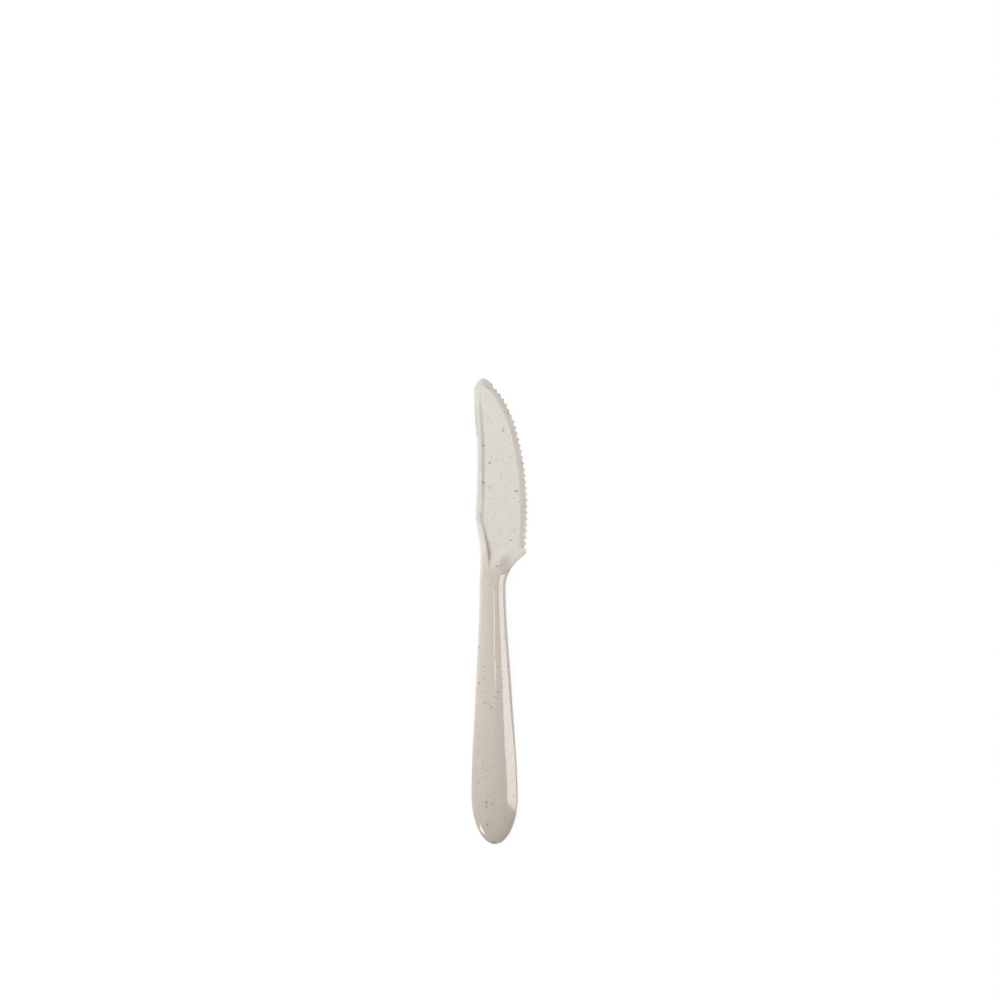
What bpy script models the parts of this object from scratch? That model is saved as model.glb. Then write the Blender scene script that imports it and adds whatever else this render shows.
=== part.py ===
"""Disposable table knife, moulded in one piece.

The knife lies on its flat side: the underside of the blade and the rim of the hollow handle
touch the plane z = 0, and the tip points to +Y. A reach is measured across from the handle's
centre line, + towards the cutting edge, and a place along the knife from the butt. The finished
mesh is moved so that the middle of its footprint is the origin.
"""
import math

import bmesh
import bpy
import numpy as np
from mathutils import Matrix

MM = 0.001

# Overall
LENGTH = 185.0 * MM

# Handle seen from above
HANDLE_WIDTH = 18.4 * MM
HANDLE_MID_WIDTH = 14.5 * MM
NECK_WIDTH = 10.5 * MM
BUTT_LENGTH = 19.0 * MM
HANDLE_MID_PLACE = 60.0 * MM
NECK_PLACE = 101.7 * MM

# Section of the handle: an arch over a hollow, with a fine rib on a ridge that fades towards the butt
HANDLE_HEIGHT = 4.3 * MM
NECK_HEIGHT = 4.7 * MM
RIM_HEIGHT = 1.0 * MM
RIM_WIDTH = 1.3 * MM
WALL = 1.3 * MM
HOLLOW_PAST_NECK = 10.8 * MM
HOLLOW_END_LENGTH = 14.0 * MM
RIDGE_REACH = 0.5 * MM
RIDGE_START = 35.0 * MM
RIDGE_FULL = 95.0 * MM
RIDGE_FALL = 0.12
RIB_HEIGHT = 0.14 * MM
RIB_HALF_WIDTH = 0.45 * MM
RIB_FADE_LENGTH = 14.0 * MM
HANDLE_CREST = 2.0
HANDLE_SHOULDER = 0.75
NECK_CREST = 2.8
NECK_SHOULDER = 0.5
BEAD_CREST = 5.0

# Corners of the blade seen from above
HEEL_PAST_NECK = 14.1 * MM
HEEL_REACH = 13.5 * MM
HEEL_ROUNDING = 0.6 * MM
HEEL_STRAIGHT = 4.0 * MM
WAIST_PAST_NECK = 10.8 * MM
WAIST_REACH = -4.82 * MM
KINK_PAST_HEEL = 15.0 * MM
KINK_REACH = -6.64 * MM
TIP_REACH = -3.0 * MM

# Curves between those corners, as shares of the way across and along from one to the next
BACK_BELOW_KINK = ((0.39, 0.574),)
BACK_ABOVE_KINK = ((0.107, 0.114), (0.242, 0.502), (0.052, 0.872), (0.121, 0.94))
BELLY = ((-0.055, 0.28), (0.079, 0.595), (0.321, 0.8), (0.648, 0.935))
STEP_LINE = ((0.353, 0.279), (0.538, 0.575), (0.77, 0.796))

# Section of the blade
BLADE_THICKNESS = 1.5 * MM
EDGE_THICKNESS = 0.4 * MM
BEVEL_WIDTH = 3.1 * MM
BEVEL_RUN_OUT = 1.2 * MM
NOSE_LENGTH = 4.0 * MM
EDGE_ROUNDING = 0.35 * MM
TIP_RIM_HEIGHT = 1.28 * MM

# Bead along the spine, and the step down from it, which runs on to the handle's ridge
BEAD_WIDTH = 1.75 * MM
BEAD_HEIGHT = 2.5 * MM
BEAD_SHARE_MAX = 0.4
BEAD_FADE_LENGTH = 12.5 * MM
BEAD_END_TO_TIP = 2.8 * MM
STEP_WIDTH = 0.9 * MM
NECK_STEP_WIDTH = 0.55 * MM

# Tongue by which the handle runs down into the blade's face
TONGUE_SETBACK = 1.3 * MM
TONGUE_LEVEL = 5.0 * MM
TONGUE_LENGTH = 13.0 * MM
TONGUE_DEPTH = 0.6 * MM
SHOULDER_LENGTH = 17.1 * MM
SHOULDER_TAPER = 1.48
SHOULDER_SOFTNESS = 0.4
FOOT_SPREAD = 1.45 * MM
FILLET = 0.4 * MM

# Scallops of the cutting edge
SCALLOP_PITCH = 2.46 * MM
SCALLOP_DEPTH = 0.85 * MM
TOOTH_LAND = 0.12 * MM
SCALLOP_START = 0.9 * MM
SCALLOP_END = 4.6 * MM
CUTTER_OVERLAP = 0.06 * MM
CUTTER_REACH = 3.0 * MM

# How finely curves and surfaces are divided
CURVE_STEPS = 24
ARC_STEPS = 16
BUTT_STEPS = 12
TIP_STEPS = 14
SCALLOP_STEPS = 8
HANDLE_STEP = 2.8 * MM
HEEL_STEP = 0.7 * MM
BLADE_STEP = 1.9 * MM
BEAD_COLUMNS = 9
STEP_COLUMNS = 5
FACE_COLUMNS = 7
CREASE_WIDTH = 0.25 * MM
HOLLOW_COLUMNS = 14
RIM_SHARE = 0.8
SHARP_ANGLE = math.radians(40.0)

HEEL_PLACE = NECK_PLACE + HEEL_PAST_NECK
WAIST_PLACE = NECK_PLACE + WAIST_PAST_NECK
KINK_PLACE = HEEL_PLACE + KINK_PAST_HEEL
TONGUE_START = NECK_PLACE + TONGUE_SETBACK
TONGUE_DROP = NECK_PLACE + TONGUE_LEVEL
RIDGE_END = NECK_PLACE - TONGUE_SETBACK
BEAD_END = LENGTH - BEAD_END_TO_TIP


def mix(low, high, share):
    """The value at a share of the way from low to high."""
    return low + (high - low) * share


def clamp(share):
    """A share kept between 0 and 1."""
    return min(max(share, 0.0), 1.0)


def ease(value, start, end):
    """0 before start, 1 after end, and a smooth S between them."""
    share = clamp((value - start) / (end - start))
    return share * share * (3.0 - 2.0 * share)


def round_share(share):
    """A quarter circle's height at a share of its radius."""
    return math.sqrt(1.0 - share * share)


def fillet_max(a, b, radius):
    """The higher of two surfaces, with a fillet where they meet."""
    overlap = max(radius - abs(a - b), 0.0) / radius
    return max(a, b) + overlap * overlap * radius / 4.0


def smooth_curve(points, start, end):
    """Points along one smooth curve through the given points, with the given end directions."""
    knots = np.array(points, float)
    spans = np.diff(knots, axis=0)
    lengths = np.linalg.norm(spans, axis=1)[:, None]
    slopes = spans / lengths
    before, after = lengths[:-1], lengths[1:]
    tangents = np.empty_like(knots)
    tangents[1:-1] = (slopes[:-1] * after + slopes[1:] * before) / (before + after)
    tangents[0] = np.array(start) / np.linalg.norm(start)
    tangents[-1] = np.array(end) / np.linalg.norm(end)
    t = np.linspace(0.0, 1.0, CURVE_STEPS, endpoint=False)[:, None]
    pieces = []
    for i, length in enumerate(lengths):
        leaving = (2 * t**3 - 3 * t**2 + 1) * knots[i] + (t**3 - 2 * t**2 + t) * length * tangents[i]
        arriving = (3 * t**2 - 2 * t**3) * knots[i + 1] + (t**3 - t**2) * length * tangents[i + 1]
        pieces.append(leaving + arriving)
    return np.vstack(pieces + [knots[-1:]])


def arc(centre, radius, start, end):
    """Points along an arc, with its angles in radians."""
    angles = np.linspace(start, end, ARC_STEPS + 1)
    return np.stack([centre[0] + radius * np.cos(angles), centre[1] + radius * np.sin(angles)], axis=1)


def between(start, end, shape):
    """Points given as shares of the way across and along from one point to another."""
    return [(mix(start[0], end[0], across), mix(start[1], end[1], along)) for across, along in shape]


def handle_side():
    """One side of the handle from the butt to the neck: half an ellipse, then a long taper."""
    angles = np.linspace(0.0, math.pi / 2, ARC_STEPS, endpoint=False)
    butt = np.stack([HANDLE_WIDTH / 2 * np.sin(angles), BUTT_LENGTH * (1.0 - np.cos(angles))], axis=1)
    knots = [(HANDLE_WIDTH / 2, BUTT_LENGTH), (HANDLE_MID_WIDTH / 2, HANDLE_MID_PLACE),
             (NECK_WIDTH / 2, NECK_PLACE)]
    return np.vstack([butt, smooth_curve(knots, (0, 1), (0, 1))])


def heel_side():
    """The hollow flare from the neck, then a straight stretch, and the heel's rounded corner."""
    across = HEEL_REACH - HEEL_ROUNDING - NECK_WIDTH / 2
    along = HEEL_PAST_NECK
    spare = across**2 + along**2 - HEEL_ROUNDING**2 - HEEL_STRAIGHT**2
    radius = spare / (2 * (across + HEEL_ROUNDING))
    flare = (NECK_WIDTH / 2 + radius, NECK_PLACE)
    turn = math.atan2(along, radius - across) - math.atan2(HEEL_STRAIGHT, radius + HEEL_ROUNDING)
    corner = (HEEL_REACH - HEEL_ROUNDING, HEEL_PLACE)
    return np.vstack([arc(flare, radius, math.pi, math.pi - turn), arc(corner, HEEL_ROUNDING, -turn, 0.0)])


def back_side():
    """The spine from the neck over the waist and the kink to the tip."""
    neck = (-NECK_WIDTH / 2, NECK_PLACE)
    waist = (WAIST_REACH, WAIST_PLACE)
    kink = (KINK_REACH, KINK_PLACE)
    knots = [neck, waist] + between(waist, kink, BACK_BELOW_KINK) + [kink]
    return smooth_curve(knots + between(kink, TIP, BACK_ABOVE_KINK) + [TIP], (0, 1), (1, 0))


def belly_side():
    """The cutting edge from the heel to the tip, before it is scalloped."""
    heel = (HEEL_REACH, HEEL_PLACE)
    return smooth_curve([heel] + between(heel, TIP, BELLY) + [TIP], (0.05, 1), (-1, 0.2))


def step_side():
    """The top of the step, from the end of the handle's ridge to the bead at the kink."""
    ridge = (RIDGE_REACH, RIDGE_END)
    bead = (KINK_REACH + BEAD_WIDTH, KINK_PLACE)
    return smooth_curve([ridge] + between(ridge, bead, STEP_LINE) + [bead], (0, 1), (0, 1))


def reach_at(line, place):
    """How far across a line lies at a place along the knife."""
    return float(np.interp(place, line[:, 1], line[:, 0]))


def distance_to(line, reach, place):
    """Distance from a point to the nearest stretch of a line."""
    start = line[:-1]
    span = line[1:] - start
    offset = np.array((reach, place)) - start
    share = np.clip((offset * span).sum(axis=1) / (span * span).sum(axis=1), 0.0, 1.0)
    return float(np.linalg.norm(offset - share[:, None] * span, axis=1).min())


def offset_line(line, distance):
    """A line moved sideways, to its left when the distance is positive."""
    direction = np.gradient(line, axis=0)
    direction /= np.linalg.norm(direction, axis=1)[:, None]
    return line + distance * np.stack([-direction[:, 1], direction[:, 0]], axis=1)


TIP = (TIP_REACH, LENGTH)
HANDLE_SIDE = handle_side()
HEEL_SIDE = heel_side()
BELLY_SIDE = belly_side()
STEP_SIDE = step_side()
RIGHT_OUTLINE = np.vstack([HANDLE_SIDE, HEEL_SIDE[1:], BELLY_SIDE[1:]])
LEFT_OUTLINE = np.vstack([HANDLE_SIDE * (-1, 1), back_side()[1:]])
BEVEL_LINE = offset_line(BELLY_SIDE, BEVEL_WIDTH)
HEEL_ROUNDING_LINE = offset_line(HEEL_SIDE, EDGE_ROUNDING)


def crest_reach(place):
    """The highest line of the section: the ridge, the top of the step, then the bead."""
    if place <= RIDGE_END:
        return RIDGE_REACH * min(1.0, place / BUTT_LENGTH)
    if place <= KINK_PLACE:
        return reach_at(STEP_SIDE, place)
    left = reach_at(LEFT_OUTLINE, place)
    right = reach_at(RIGHT_OUTLINE, place)
    return left + min(BEAD_WIDTH, BEAD_SHARE_MAX * (right - left))


def crest_height(place):
    """Height along the crest: a domed butt, the handle, the neck, the bead and its fade."""
    if place < BUTT_LENGTH:
        return mix(RIM_HEIGHT, HANDLE_HEIGHT, round_share(1.0 - place / BUTT_LENGTH))
    handle = mix(HANDLE_HEIGHT, NECK_HEIGHT, ease(place, BUTT_LENGTH, NECK_PLACE))
    bead = mix(handle, BEAD_HEIGHT, ease(place, NECK_PLACE, KINK_PLACE))
    return mix(bead, BLADE_THICKNESS, ease(place, BEAD_END - BEAD_FADE_LENGTH, BEAD_END))


def step_width(place):
    """Width of the step beside the crest, which is steeper between the handle and the kink."""
    return mix(NECK_STEP_WIDTH, STEP_WIDTH, ease(place, HEEL_PLACE, KINK_PLACE))


def tongue_height(place):
    """Height of the tongue along its top, which ends a little below the blade's face."""
    start = crest_height(min(place, TONGUE_DROP))
    end = BLADE_THICKNESS - TONGUE_DEPTH
    return mix(start, end, ease(place, TONGUE_DROP, TONGUE_DROP + TONGUE_LENGTH))


def foot_reach(place):
    """Where the arch's flank meets the web of the heel, or the outline along the handle."""
    right = reach_at(RIGHT_OUTLINE, place)
    if place <= NECK_PLACE:
        return right
    return min(NECK_WIDTH / 2 + FOOT_SPREAD * ease(place, NECK_PLACE, WAIST_PLACE), right)


def rim_height(place):
    """Height of the back's rim: low beside the handle, nearly up to the blade's face at the tip."""
    return mix(RIM_HEIGHT, TIP_RIM_HEIGHT, ease(place, BEAD_END - BEAD_FADE_LENGTH, BEAD_END))


def arch(share, place):
    """Height share of the arch: round along the handle, then ever more level with tight shoulders.

    Along the neck it also falls evenly to both sides, which makes the ridge.
    """
    across = clamp(share)
    neck = ease(place, RIDGE_START, RIDGE_FULL)
    on_blade = ease(place, NECK_PLACE, KINK_PLACE)
    ridge = neck * (1.0 - on_blade)
    crest = mix(mix(HANDLE_CREST, NECK_CREST, neck), BEAD_CREST, on_blade)
    shoulder = mix(HANDLE_SHOULDER, NECK_SHOULDER, neck)
    return (1.0 - RIDGE_FALL * ridge * across) * (1.0 - across**crest) ** shoulder


def plate_height(reach, place):
    """Top of the flat blade and heel: level face, bevel to the cutting edge, rounded heel."""
    run_out = ease(place, HEEL_PLACE + BEVEL_RUN_OUT, HEEL_PLACE + 2 * BEVEL_RUN_OUT)
    edge = mix(BLADE_THICKNESS, EDGE_THICKNESS, run_out)
    edge = mix(edge, TIP_RIM_HEIGHT, ease(place, LENGTH - NOSE_LENGTH, LENGTH))
    bevel = mix(edge, BLADE_THICKNESS, clamp(distance_to(BELLY_SIDE, reach, place) / BEVEL_WIDTH))
    inward = clamp(distance_to(HEEL_SIDE, reach, place) / EDGE_ROUNDING)
    rounding = (BLADE_THICKNESS - RIM_HEIGHT) * (1.0 - round_share(1.0 - inward))
    return mix(RIM_HEIGHT - FILLET, bevel - rounding, ease(place, NECK_PLACE, WAIST_PLACE))


def flank_height(reach, place):
    """The arch right of its crest, which turns into a tongue with an evenly sloping flank."""
    crest = crest_reach(place)
    foot = foot_reach(place)
    shoulder = mix(crest, foot, clamp((place - RIDGE_END) / SHOULDER_LENGTH) ** SHOULDER_TAPER)
    if reach <= shoulder:
        return tongue_height(place)
    if reach >= foot:
        return RIM_HEIGHT
    share = (reach - shoulder) / (foot - shoulder)
    slope = 1.0 - mix(share, ease(share, 0.0, 1.0), SHOULDER_SOFTNESS)
    profile = mix(arch(share, place), slope, ease(place, TONGUE_DROP, WAIST_PLACE))
    return mix(RIM_HEIGHT, tongue_height(place), profile)


def rib_height(reach, place):
    """Height of the fine rib along the ridge, which fades at both of its ends."""
    start = ease(place, RIDGE_START, RIDGE_START + RIB_FADE_LENGTH)
    end = ease(place, NECK_PLACE, NECK_PLACE + RIB_FADE_LENGTH)
    across = clamp(abs(reach - crest_reach(place)) / RIB_HALF_WIDTH)
    return RIB_HEIGHT * start * (1.0 - end) * (1.0 - across)


def top_height(reach, place):
    """Height of the knife's top surface at a point of its plan."""
    return smooth_top(reach, place) + rib_height(reach, place)


def smooth_top(reach, place):
    """Height of the top surface without the rib."""
    crest = crest_reach(place)
    height = crest_height(place)
    if reach == crest:
        return height
    if reach < crest:
        share = (crest - reach) / (crest - reach_at(LEFT_OUTLINE, place))
        return mix(rim_height(place), height, arch(share, place))
    low = fillet_max(plate_height(reach, place), flank_height(reach, place), FILLET)
    if place < TONGUE_START:
        return low
    return mix(height, low, ease(reach, crest, crest + step_width(place)))


def spaced(start, end, step):
    """Even places from start up to, but not including, end."""
    count = max(round((end - start) / step), 1)
    return [mix(start, end, i / count) for i in range(count)]


def half_turn(count):
    """Shares that lie close at both ends, from 0 up to, but not including, 1."""
    return [0.5 - 0.5 * math.cos(math.pi * i / count) for i in range(count)]


def quarter_turn(count):
    """Shares of a quarter circle's radius at even angles, from 0 up to, but not including, 1."""
    return [math.sin(math.pi / 2 * i / count) for i in range(count)]


def rib_places():
    """Places of the cross-sections: close at the ends and round the heel, wide elsewhere."""
    nose = 2 * NOSE_LENGTH
    butt = [BUTT_LENGTH * (1.0 - round_share(share)) for share in quarter_turn(BUTT_STEPS)]
    handle = spaced(BUTT_LENGTH, RIDGE_END, HANDLE_STEP)
    neck = spaced(RIDGE_END, HEEL_PLACE, HEEL_STEP)
    heel = spaced(HEEL_PLACE, KINK_PLACE, HEEL_STEP)
    blade = spaced(KINK_PLACE, LENGTH - nose, BLADE_STEP)
    tip = [LENGTH - nose * (1.0 - share) for share in quarter_turn(TIP_STEPS)]
    return butt + handle + neck + heel + blade + tip + [LENGTH]


def blade_reaches(place):
    """Reaches right of the crest, set on the step, the face, the bevel and the heel's edge."""
    crest = crest_reach(place)
    right = reach_at(RIGHT_OUTLINE, place)
    toe = min(crest + step_width(place), mix(crest, right, 0.5))
    innermost, outermost = mix(toe, right, 1.0 - RIM_SHARE), mix(toe, right, RIM_SHARE)
    bevel = min(max(reach_at(BEVEL_LINE, place), innermost), outermost)
    rim = mix(bevel, right, RIM_SHARE)
    if place < HEEL_PLACE:
        rim = max(reach_at(HEEL_ROUNDING_LINE, place), rim)
    crease = min(CREASE_WIDTH, (bevel - toe) / FACE_COLUMNS, (rim - bevel) / 3)
    step = [mix(crest, toe, i / STEP_COLUMNS) for i in range(STEP_COLUMNS)]
    face = [mix(toe, bevel - crease, i / FACE_COLUMNS) for i in range(FACE_COLUMNS)]
    slope = [bevel - crease, bevel, bevel + crease, mix(bevel + crease, rim, 0.5)]
    return step + face + slope + [rim, right]


def rib_reaches(place):
    """Reaches across one section: even round the handle's arch, then set on the blade's forms."""
    left = reach_at(LEFT_OUTLINE, place)
    crest = crest_reach(place)
    blade = blade_reaches(place)
    arch_shares = half_turn(len(blade) - 1) + [1.0]
    on_blade = ease(place, NECK_PLACE, WAIST_PLACE)
    bead = [mix(left, crest, share) for share in half_turn(BEAD_COLUMNS)]
    return bead + [mix(mix(crest, blade[-1], share), reach, on_blade)
                   for share, reach in zip(arch_shares, blade)]


def new_object(name, bm):
    """Put a bmesh into the scene as an object, with its faces outwards."""
    bmesh.ops.recalc_face_normals(bm, faces=bm.faces)
    mesh = bpy.data.meshes.new(name)
    bm.to_mesh(mesh)
    bm.free()
    obj = bpy.data.objects.new(name, mesh)
    bpy.context.scene.collection.objects.link(obj)
    return obj


def solid_below(name, rows, floor):
    """Close a skin, given as rows of points, into a solid with upright walls and a level floor."""
    bm = bmesh.new()
    grid = [[bm.verts.new(point) for point in row] for row in rows]
    for near, far in zip(grid, grid[1:]):
        for i in range(len(near) - 1):
            bm.faces.new((near[i], near[i + 1], far[i + 1], far[i]))
    bmesh.ops.remove_doubles(bm, verts=bm.verts, dist=0.001 * MM)
    rim = [edge for edge in bm.edges if edge.is_boundary]
    for item in bmesh.ops.extrude_edge_only(bm, edges=rim)["geom"]:
        if isinstance(item, bmesh.types.BMVert):
            item.co.z = floor
    bmesh.ops.holes_fill(bm, edges=[edge for edge in bm.edges if edge.is_boundary], sides=0)
    return new_object(name, bm)


def knife_blank():
    """The whole knife before its handle is hollowed and its edge is scalloped."""
    rows = []
    for place in rib_places():
        rows.append([(reach, place, top_height(reach, place)) for reach in rib_reaches(place)])
    return solid_below("knife", rows, 0.0)


def hollow_sections():
    """Place and half width share of the hollow's sections: an ellipse quadrant at each end."""
    butt = BUTT_LENGTH - RIM_WIDTH
    full = NECK_PLACE + HOLLOW_PAST_NECK - HOLLOW_END_LENGTH
    turn = quarter_turn(BUTT_STEPS)
    sections = [(BUTT_LENGTH - butt * round_share(share), share) for share in turn]
    sections += [(place, 1.0) for place in spaced(BUTT_LENGTH, full, 2 * HANDLE_STEP)]
    return sections + [(full + HOLLOW_END_LENGTH * share, round_share(share)) for share in turn + [1.0]]


def hollow_cutter():
    """The room under the handle: one wall below the top, inside the rim and round at both ends."""
    rows = []
    for place, half_share in hollow_sections():
        left = reach_at(LEFT_OUTLINE, max(place, BUTT_LENGTH)) + RIM_WIDTH
        right = foot_reach(max(place, BUTT_LENGTH)) - RIM_WIDTH
        row = []
        for i in range(HOLLOW_COLUMNS + 1):
            across = half_share * math.cos(math.pi * i / HOLLOW_COLUMNS)
            reach = mix(left, right, 0.5 - 0.5 * across)
            row.append((reach, place, min(smooth_top(reach, place), tongue_height(place)) - WALL))
        rows.append(row)
    return solid_below("hollow_cutter", rows, -CUTTER_REACH)


def scallop_arc(start, end, half_angle, radius):
    """Points along one scallop between two teeth, reaching a little outside them."""
    forward = (end - start) / np.linalg.norm(end - start)
    outward = np.array((forward[1], -forward[0]))
    centre = (start + end) / 2 + outward * (radius - SCALLOP_DEPTH)
    angles = [mix(-half_angle, half_angle, i / SCALLOP_STEPS) for i in range(SCALLOP_STEPS + 1)]
    return [centre + radius * (math.sin(angle) * forward - math.cos(angle) * outward) for angle in angles]


def scallop_cutter():
    """One strip whose inner side is the row of scallops, cut straight through the blade."""
    steps = np.linalg.norm(np.diff(BELLY_SIDE, axis=0), axis=1)
    run = np.concatenate([[0.0], np.cumsum(steps)])
    count = int((run[-1] - SCALLOP_START - SCALLOP_END) / SCALLOP_PITCH)
    half_chord = (SCALLOP_PITCH - TOOTH_LAND) / 2
    radius = (half_chord**2 + SCALLOP_DEPTH**2) / (2 * SCALLOP_DEPTH)
    half_angle = math.acos((radius - SCALLOP_DEPTH - CUTTER_OVERLAP) / radius)
    teeth = SCALLOP_START + SCALLOP_PITCH * np.arange(count + 1)
    tips = np.stack([np.interp(teeth, run, BELLY_SIDE[:, axis]) for axis in (0, 1)], axis=1)
    inner = []
    for start, end in zip(tips, tips[1:]):
        inner += scallop_arc(start, end, half_angle, radius)
    outer = offset_line(BELLY_SIDE, -CUTTER_REACH)[(run > teeth[0]) & (run < teeth[-1])]
    bm = bmesh.new()
    face = bm.faces.new([bm.verts.new((x, y, -CUTTER_REACH)) for x, y in inner + list(outer[::-1])])
    for item in bmesh.ops.extrude_face_region(bm, geom=[face])["geom"]:
        if isinstance(item, bmesh.types.BMVert):
            item.co.z = BEAD_HEIGHT + CUTTER_REACH
    return new_object("scallop_cutter", bm)


def cut(body, cutter):
    """Take a cutter's shape out of a body."""
    cutter.hide_render = True
    cutter.display_type = "WIRE"
    boolean = body.modifiers.new(cutter.name, "BOOLEAN")
    boolean.operation = "DIFFERENCE"
    boolean.solver = "EXACT"
    boolean.object = cutter


def pale_plastic():
    """Pale beige plastic with a soft gloss."""
    material = bpy.data.materials.new("pale_plastic")
    material.use_nodes = True
    shader = material.node_tree.nodes["Principled BSDF"]
    shader.inputs["Base Color"].default_value = (0.62, 0.57, 0.50, 1.0)
    shader.inputs["Roughness"].default_value = 0.35
    shader.inputs["Metallic"].default_value = 0.0
    return material


def main():
    """Model the knife, hollow its handle, scallop its edge and centre it on the origin."""
    for obj in list(bpy.data.objects):
        bpy.data.objects.remove(obj)
    knife = knife_blank()
    cutters = (hollow_cutter(), scallop_cutter())
    for cutter in cutters:
        cut(knife, cutter)
    across = (HANDLE_WIDTH / 2 - max(RIGHT_OUTLINE[:, 0])) / 2
    for obj in (knife, *cutters):
        obj.data.transform(Matrix.Translation((across, -LENGTH / 2, 0.0)))
    knife.data.materials.append(pale_plastic())
    knife.data.shade_smooth()
    knife.data.set_sharp_from_angle(angle=SHARP_ANGLE)


main()
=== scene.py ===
"""A disposable table knife of speckled beige plastic, lying on a white table and seen from above."""
import math
from collections import namedtuple

import bmesh
import bpy
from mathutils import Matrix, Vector


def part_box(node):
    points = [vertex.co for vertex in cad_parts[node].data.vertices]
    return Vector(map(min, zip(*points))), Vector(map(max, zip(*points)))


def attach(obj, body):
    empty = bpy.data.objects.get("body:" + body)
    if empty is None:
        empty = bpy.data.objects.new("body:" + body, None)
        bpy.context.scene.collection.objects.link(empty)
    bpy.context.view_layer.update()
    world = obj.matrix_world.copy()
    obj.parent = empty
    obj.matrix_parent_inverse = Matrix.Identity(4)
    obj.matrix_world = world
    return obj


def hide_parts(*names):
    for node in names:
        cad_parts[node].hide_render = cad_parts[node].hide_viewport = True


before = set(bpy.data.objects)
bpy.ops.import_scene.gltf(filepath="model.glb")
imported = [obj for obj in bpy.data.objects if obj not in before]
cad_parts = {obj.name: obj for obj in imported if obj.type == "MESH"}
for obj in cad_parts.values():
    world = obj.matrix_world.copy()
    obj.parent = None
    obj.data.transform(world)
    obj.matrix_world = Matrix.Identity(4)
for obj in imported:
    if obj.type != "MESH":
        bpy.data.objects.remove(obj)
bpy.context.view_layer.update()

MM = 0.001

# Sizes of the model are in metres. A band is a pair of values: a share goes smoothly from 0 at the
# first value to 1 at the second.

# Along the knife, whose tip is at +Y and whose cutting edge is at +X
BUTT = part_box("knife")[0].y
HANDLE_BAND = (BUTT, BUTT + 70.0 * MM)
BLADE_BAND = (BUTT + 101.7 * MM, BUTT + 115.8 * MM)
THIN_BAND = (BUTT + 106.0 * MM, BUTT + 120.0 * MM)
TIP_BAND = (BUTT + 140.0 * MM, BUTT + 172.0 * MM)
NOSE_START_BAND = (BUTT + 108.5 * MM, BUTT + 111.0 * MM)
NOSE_END_BAND = (BUTT + 115.5 * MM, BUTT + 114.0 * MM)
RIM_BAND = (BUTT + 160.0 * MM, BUTT + 168.0 * MM)

# Across the knife: the step lies left of this band, the nose of the tongue right of it
NOSE_SIDE_BAND = (-3.4 * MM, -2.6 * MM)

# Heights: the bevel and the rounded rims lie below the blade's level face, the step above it
FACE_HEIGHT = 1.5 * MM
BEVEL_HEIGHT_BAND = (1.47 * MM, 1.3 * MM)
STEP_HEIGHT_BAND = (FACE_HEIGHT, 1.6 * MM)
NOSE_HEIGHT_BAND = (0.9 * MM, 1.3 * MM)

# Lean of the surface, as the part of its normal that points to the right or upwards
STEP_LEAN_BAND = (0.15, 0.60)
NOSE_LEAN_BAND = (0.05, 0.25)
RIM_LEAN_BAND = (0.15, 0.0)
RIM_UPWARD_BAND = (0.99, 0.94)

# Colours, as linear values
# Painted shade: the handle is painted darker towards the butt, down to this beige
BUTT_SHADE_BEIGE = (0.557, 0.492, 0.427, 1.0)
HANDLE_BEIGE = (0.606, 0.541, 0.478, 1.0)
# Painted light: the thin blade is painted paler, a glow of the table's light through the plastic
BLADE_GLOW_BEIGE = (0.720, 0.687, 0.638, 1.0)
# Painted light: the step's slope is painted lighter and warmer, a glow for light through the bead, palest
# at the tip
STEP_GLOW_BEIGE = (0.840, 0.742, 0.630, 1.0)
STEP_TIP_GLOW_BEIGE = (0.950, 0.870, 0.780, 1.0)
ROSE_BEIGE = (0.700, 0.580, 0.500, 1.0)
FLECK_BROWN = (0.190, 0.150, 0.115, 1.0)
# Grey of the flecks, also used for the painted shade on the tip's rim
FLECK_AND_SHADE_GREY = (0.260, 0.260, 0.270, 1.0)
# Brown of the mottle, also used for the painted shade at the nose of the tongue
MOTTLE_AND_SHADE_BROWN = (0.420, 0.365, 0.300, 1.0)
# Painted shade on the bevel and the blade's rims
BEVEL_SHADE_BROWN = (0.440, 0.360, 0.270, 1.0)
WHITE = (1.0, 1.0, 1.0, 1.0)
TABLE_WHITE = (0.85, 0.85, 0.85, 1.0)

# Strength of the painted shade on the blade's forms: the bevel, the nose of the tongue and the tip's rim
BEVEL_SHADE_SHARE = 0.29
BEVEL_SHADE_GAIN_AT_TIP = 0.13
NOSE_SHADE = 0.20
RIM_SHADE = 0.45

# Mottles: the size of their patches, the detail of the noise, and the band of noise that is tinted
Mottle = namedtuple("Mottle", "size detail band")
ROSE_PATCHES = Mottle(7.0 * MM, 2.0, (0.42, 0.66))
CLOUDS = Mottle(2.6 * MM, 3.0, (0.40, 0.80))
GRAIN = Mottle(0.55 * MM, 4.0, (0.46, 0.74))
ROSE_TINT = 0.16
ROSE_TINT_LOSS_WHERE_THIN = 0.09
CLOUD_TINT = 0.10
GRAIN_TINT = 0.16
GRAIN_TINT_GAIN_ON_BLADE = 0.10

# Sorts of flecks: the spacing of their lattice, the largest radius, the share of cells that hold a
# fleck, the softness of the edge, the tint, how much of it is lost on the blade, and the colour
Flecks = namedtuple("Flecks", "spacing radius share edge tint loss_on_blade colour")
FAINT_FLECKS = Flecks(1.2 * MM, 0.55 * MM, 0.80, 1.0, 0.40, 0.12, FLECK_AND_SHADE_GREY)
FINE_FLECKS = Flecks(1.7 * MM, 0.66 * MM, 0.62, 1.0, 0.64, 0.14, FLECK_AND_SHADE_GREY)
COARSE_FLECKS = Flecks(2.6 * MM, 0.75 * MM, 0.60, 0.5, 0.60, 0.0, FLECK_BROWN)

# Raggedness of a fleck: the size and the shift of the warp, as shares of its radius
WARP_SIZE = 0.8
WARP_SHIFT = 1.1
WARP_DETAIL = 2.0

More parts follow.
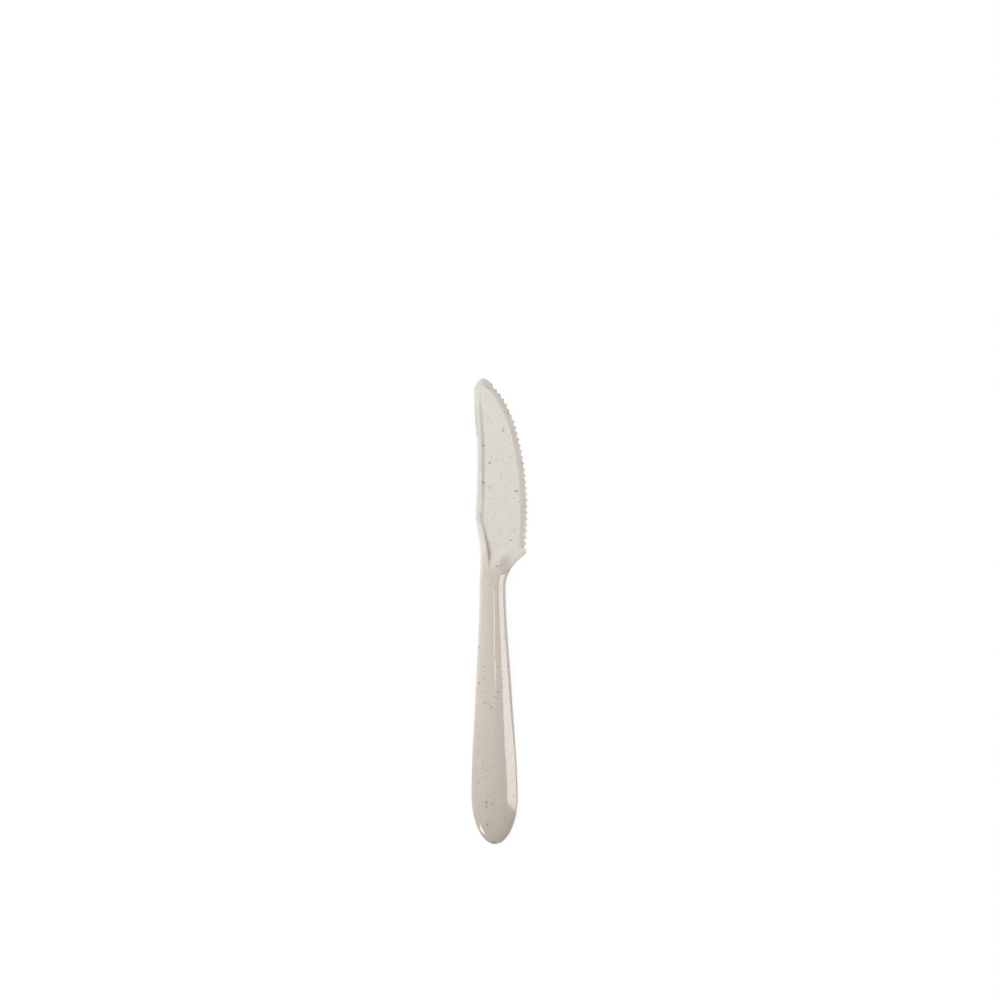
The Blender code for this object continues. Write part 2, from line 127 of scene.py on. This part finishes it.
# Gloss of the plastic, and the faint waviness of its moulded skin
ROUGHNESS = 0.12
GRAIN_ROUGHNESS = 0.06
MATT_ROUGHNESS = 0.30
PLASTIC_IOR = 1.55
COAT = 0.6
COAT_ROUGHNESS = 0.08
SKIN_SIZE = 4.0 * MM
SKIN_DETAIL = 1.0
SKIN_STRENGTH = 0.1
SKIN_DEPTH = 0.02 * MM

# Points nearer than this are one; faces that meet at less than this angle are shaded as one
MERGE_DISTANCE = 0.001 * MM
SMOOTH_ANGLE = math.radians(40.0)

# A crest is crisp where the lean to the right steps from below the first value to above the second
CREST_LEFT = 0.10
CREST_RIGHT = 0.27

# The table, and the share of its glow in what the camera and the gloss see of it
TABLE_SIZE = 4.0
TABLE_GLOW = 1.03
GLOW_SHARE = 0.9

# Lamps, in metres and watts: soft light from the upper left, a small lamp beside the butt, and a tall
# panel at the right, which the handle mirrors as its long bright strip
Lamp = namedtuple("Lamp", "name place target width height power")
LAMPS = (
    Lamp("key_softbox", (-0.58, 0.52, 0.54), (0.0, 0.02, 0.0), 0.34, 0.48, 8.5),
    Lamp("butt_lamp", (-0.196, -0.217, 0.105), (-0.008, -0.087, 0.0), 0.045, 0.050, 0.070),
    Lamp("side_panel", (0.70, -0.122, 0.515), (0.0, -0.122, 0.515), 0.284, 0.91, 3.41),
)
ROOM_LIGHT = 0.32

# Camera, straight above and turned a little, as the photograph shows the knife leaning
CAMERA_AT = (0.68 * MM, 44.13 * MM, 1.1038)
CAMERA_TURN = math.radians(-0.5586)
LENS_MM = 100.0
SENSOR_MM = 36.0


class Signal:
    """A shader socket that takes part in ordinary arithmetic; each operator adds a Math node."""

    def __init__(self, finish, socket):
        self.finish = finish
        self.socket = socket

    def _math(self, operation, first, second):
        return self.finish.node("ShaderNodeMath", {"operation": operation}, {0: first, 1: second})

    def __add__(self, other):
        return self._math("ADD", self, other)

    def __radd__(self, other):
        return self._math("ADD", other, self)

    def __sub__(self, other):
        return self._math("SUBTRACT", self, other)

    def __rsub__(self, other):
        return self._math("SUBTRACT", other, self)

    def __mul__(self, other):
        return self._math("MULTIPLY", self, other)

    def __rmul__(self, other):
        return self._math("MULTIPLY", other, self)


class Finish:
    """One material under construction: its nodes, their settings and their links."""

    def __init__(self, name):
        self.material = bpy.data.materials.new(name)
        self.material.use_nodes = True
        self.tree = self.material.node_tree
        self.tree.nodes.clear()

    def node(self, kind, settings=None, sockets=None, output=0):
        """Adds a node, sets it, fills its sockets with values or links, and gives its output or outputs."""
        made = self.tree.nodes.new(kind)
        for name, value in (settings or {}).items():
            setattr(made, name, value)
        for key, value in (sockets or {}).items():
            if isinstance(value, Signal):
                self.tree.links.new(value.socket, made.inputs[key])
            else:
                made.inputs[key].default_value = value
        if isinstance(output, tuple):
            return tuple(Signal(self, made.outputs[key]) for key in output)
        return Signal(self, made.outputs[output]) if made.outputs else None

    def rise(self, value, band):
        """A share that goes smoothly from 0 at the band's first value to 1 at its second."""
        low, high = band
        return self.node("ShaderNodeMapRange", {"interpolation_type": "SMOOTHSTEP"},
                         {"Value": value, "From Min": low, "From Max": high})

    def noise(self, place, size, detail, output=0):
        """Cloudy noise whose patches are about the given size."""
        return self.node("ShaderNodeTexNoise", None,
                         {"Vector": place, "Scale": 1.0 / size, "Detail": detail}, output)

    def blend(self, share, first, second):
        """The given share of the second colour over the first, by the Mix node's colour sockets."""
        return self.node("ShaderNodeMix", {"data_type": "RGBA"}, {0: share, 6: first, 7: second}, output=2)

    def surface(self, shader):
        """Sends a shader to the material's output, and gives the material."""
        self.node("ShaderNodeOutputMaterial", None, {"Surface": shader})
        return self.material


def paint_bevel_shade(finish, base, blade, tip, height):
    """Painted shade: the bevel and the blade's rims are painted browner, most of all at the tip."""
    bevel = blade * finish.rise(height, BEVEL_HEIGHT_BAND)
    return finish.blend(bevel * (tip * BEVEL_SHADE_GAIN_AT_TIP + BEVEL_SHADE_SHARE), base, BEVEL_SHADE_BROWN)


def paint_shade_and_glow_on_forms(finish, base, blade, place, facing):
    """Paints shade on the bevel, the foot of the tongue's nose and the tip's rim, and a glow on the step's
    slope.

    Gives the colour and the share that is matt, which the nose's foot and the tip's rim have."""
    side, along, height = finish.node("ShaderNodeSeparateXYZ", None, {"Vector": place}, ("X", "Y", "Z"))
    across, up = finish.node("ShaderNodeSeparateXYZ", None, {"Vector": facing}, ("X", "Z"))
    tip = finish.rise(along, TIP_BAND)
    base = paint_bevel_shade(finish, base, blade, tip, height)

    right = finish.rise(side, NOSE_SIDE_BAND)
    # Painted light: the step's slope, which the lamps leave in shade, is painted lighter and warmer
    slope = finish.rise(across, STEP_LEAN_BAND) * finish.rise(height, STEP_HEIGHT_BAND)
    step_glow = finish.blend(tip, STEP_GLOW_BEIGE, STEP_TIP_GLOW_BEIGE)
    base = finish.blend(blade * slope * (1.0 - right), base, step_glow)

    # Painted shade: the foot of the tongue's nose, a slope facing right, is painted browner
    nose = right * finish.rise(across, NOSE_LEAN_BAND) * finish.rise(height, NOSE_HEIGHT_BAND)
    nose = nose * finish.rise(along, NOSE_START_BAND) * finish.rise(along, NOSE_END_BAND)
    base = finish.blend(nose * NOSE_SHADE, base, MOTTLE_AND_SHADE_BROWN)

    # Painted shade: the steep left rim at the tip is painted grey, a dark outline
    rim = finish.rise(up, RIM_UPWARD_BAND) * finish.rise(across, RIM_LEAN_BAND)
    rim = rim * finish.rise(along, RIM_BAND)
    return finish.blend(rim * RIM_SHADE, base, FLECK_AND_SHADE_GREY), nose + rim


def add_mottle(finish, base, blade, thin, place):
    """Rosier patches, brown clouds and a brown grain over the colour; gives the colour and the grain."""
    rose = finish.noise(place, ROSE_PATCHES.size, ROSE_PATCHES.detail)
    rose_share = finish.rise(rose, ROSE_PATCHES.band) * (ROSE_TINT - thin * ROSE_TINT_LOSS_WHERE_THIN)
    base = finish.blend(rose_share, base, ROSE_BEIGE)
    cloud = finish.noise(place, CLOUDS.size, CLOUDS.detail)
    base = finish.blend(finish.rise(cloud, CLOUDS.band) * CLOUD_TINT, base, MOTTLE_AND_SHADE_BROWN)
    grain = finish.noise(place, GRAIN.size, GRAIN.detail)
    grain_share = finish.rise(grain, GRAIN.band) * (blade * GRAIN_TINT_GAIN_ON_BLADE + GRAIN_TINT)
    return finish.blend(grain_share, base, MOTTLE_AND_SHADE_BROWN), grain


def add_flecks(finish, base, blade, place, sort):
    """Ragged specks of husk: some of the lattice's cells hold one, of any size up to the radius."""
    warp = finish.noise(place, WARP_SIZE * sort.radius, WARP_DETAIL, "Color")
    bent = finish.node("ShaderNodeVectorMath", {"operation": "MULTIPLY_ADD"},
                       {0: warp, 1: (WARP_SHIFT * sort.radius,) * 3, 2: place})
    distance, draw = finish.node("ShaderNodeTexVoronoi", None,
                                 {"Vector": bent, "Scale": 1.0 / sort.spacing}, ("Distance", "Color"))
    lot = finish.node("ShaderNodeSeparateColor", None, {"Color": draw})
    size = finish.rise(lot, (1.0 - sort.share, 1.0)) * (sort.radius / sort.spacing)
    flecks = finish.rise(size - distance, (0.0, sort.edge * sort.radius / sort.spacing))
    return finish.blend(flecks * (sort.tint - blade * sort.loss_on_blade), base, sort.colour)


def speckled_plastic():
    """Starch-filled beige plastic with a moulded gloss: flecks and a faint mottle, with painted light and
    shade: a paler blade for light through the thin plastic, a darker butt, and painted shade and glow on
    the blade's forms.
    """
    finish = Finish("speckled_plastic")
    place, facing = finish.node("ShaderNodeTexCoord", output=("Object", "Normal"))
    along = finish.node("ShaderNodeSeparateXYZ", None, {"Vector": place}, "Y")
    blade = finish.rise(along, BLADE_BAND)
    thin = finish.rise(along, THIN_BAND)
    # Painted shade: the handle's colour darkens towards the butt
    handle_colour = finish.blend(finish.rise(along, HANDLE_BAND), BUTT_SHADE_BEIGE, HANDLE_BEIGE)
    # Painted light: paler towards the thin blade, for light passing through it
    base = finish.blend(thin, handle_colour, BLADE_GLOW_BEIGE)
    # Painted shade and painted light on the blade's forms
    base, matt = paint_shade_and_glow_on_forms(finish, base, blade, place, facing)
    base, grain = add_mottle(finish, base, blade, thin, place)
    for sort in (FAINT_FLECKS, FINE_FLECKS, COARSE_FLECKS):
        base = add_flecks(finish, base, blade, place, sort)
    skin = finish.noise(place, SKIN_SIZE, SKIN_DETAIL)
    bump = finish.node("ShaderNodeBump", None,
                       {"Strength": SKIN_STRENGTH, "Distance": SKIN_DEPTH, "Height": skin})
    roughness = grain * GRAIN_ROUGHNESS + ROUGHNESS + matt * MATT_ROUGHNESS
    shader = finish.node("ShaderNodeBsdfPrincipled", None,
                         {"Base Color": base, "Roughness": roughness, "Normal": bump, "IOR": PLASTIC_IOR,
                          "Coat Weight": (1.0 - matt) * COAT, "Coat Roughness": COAT_ROUGHNESS})
    return finish.surface(shader)


def crisp(edge):
    """Whether an edge borders the blade's level face, or is the crest of the rib or of the step."""
    level = [all(abs(vert.co.z - FACE_HEIGHT) < MERGE_DISTANCE for vert in face.verts)
             for face in edge.link_faces]
    leans = [face.normal.x for face in edge.link_faces]
    return any(level) != all(level) or (min(leans) < CREST_LEFT and max(leans) > CREST_RIGHT)


def moulded_knife():
    """A copy of the moulded solid: equal points merged, crisp lines kept, the rest shaded smooth."""
    bpy.ops.object.select_all(action="DESELECT")
    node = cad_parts["knife"]
    node.select_set(True)
    bpy.context.view_layer.objects.active = node
    bpy.ops.object.duplicate()
    knife = bpy.context.active_object
    knife.name = "moulded_knife"
    bpy.ops.object.mode_set(mode="EDIT")
    bpy.ops.mesh.select_all(action="SELECT")
    bpy.ops.mesh.remove_doubles(threshold=MERGE_DISTANCE)
    mesh = bmesh.from_edit_mesh(knife.data)
    for edge in mesh.edges:
        edge.smooth = not crisp(edge)
    bpy.ops.object.mode_set(mode="OBJECT")
    bpy.ops.object.shade_smooth_by_angle(angle=SMOOTH_ANGLE)
    even = knife.modifiers.new("even_shading", "WEIGHTED_NORMAL")
    even.mode = "FACE_AREA_WITH_ANGLE"
    even.keep_sharp = True
    bpy.ops.object.modifier_apply(modifier=even.name)
    return knife


def white_table():
    """A white table top: it takes the knife's shadow, and the camera and the gloss see it white."""
    bpy.ops.object.select_all(action="DESELECT")
    bpy.ops.mesh.primitive_plane_add(size=TABLE_SIZE, location=(0.0, 0.0, 0.0))
    table = bpy.context.active_object
    table.name = "table_top"
    finish = Finish("white_table")
    diffuse = finish.node("ShaderNodeBsdfDiffuse", None, {"Color": TABLE_WHITE})
    glow = finish.node("ShaderNodeEmission", None, {"Color": WHITE, "Strength": TABLE_GLOW})
    camera, glossy, through = finish.node("ShaderNodeLightPath", None, None,
                                          ("Is Camera Ray", "Is Glossy Ray", "Is Transmission Ray"))
    share = (camera + glossy + through) * GLOW_SHARE
    mixed = finish.node("ShaderNodeMixShader", None, {0: share, 1: diffuse, 2: glow})
    table.data.materials.append(finish.surface(mixed))


def softbox(lamp):
    """A rectangular studio lamp aimed at a point."""
    light = bpy.data.lights.new(lamp.name, "AREA")
    light.shape = "RECTANGLE"
    light.size = lamp.width
    light.size_y = lamp.height
    light.energy = lamp.power
    obj = bpy.data.objects.new(lamp.name, light)
    bpy.context.scene.collection.objects.link(obj)
    obj.location = lamp.place
    aim = Vector(lamp.target) - Vector(lamp.place)
    obj.rotation_euler = aim.to_track_quat("-Z", "Y").to_euler()


def studio():
    """The lamps, and the even white light of the room."""
    for lamp in LAMPS:
        softbox(lamp)
    world = bpy.data.worlds.new("pale_room")
    bpy.context.scene.world = world
    world.use_nodes = True
    room = world.node_tree.nodes["Background"]
    room.inputs["Color"].default_value = WHITE
    room.inputs["Strength"].default_value = ROOM_LIGHT


def overhead_camera():
    """The photograph's viewpoint."""
    camera = bpy.data.cameras.new("overhead_camera")
    camera.lens = LENS_MM
    camera.sensor_width = SENSOR_MM
    obj = bpy.data.objects.new("overhead_camera", camera)
    bpy.context.scene.collection.objects.link(obj)
    obj.location = CAMERA_AT
    obj.rotation_euler = (0.0, 0.0, CAMERA_TURN)
    bpy.context.scene.camera = obj


overhead_camera()
studio()
white_table()
knife = moulded_knife()
knife.data.materials.clear()
knife.data.materials.append(speckled_plastic())
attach(knife, "root")
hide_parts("knife")
bpy.context.scene.view_settings.view_transform = "Standard"
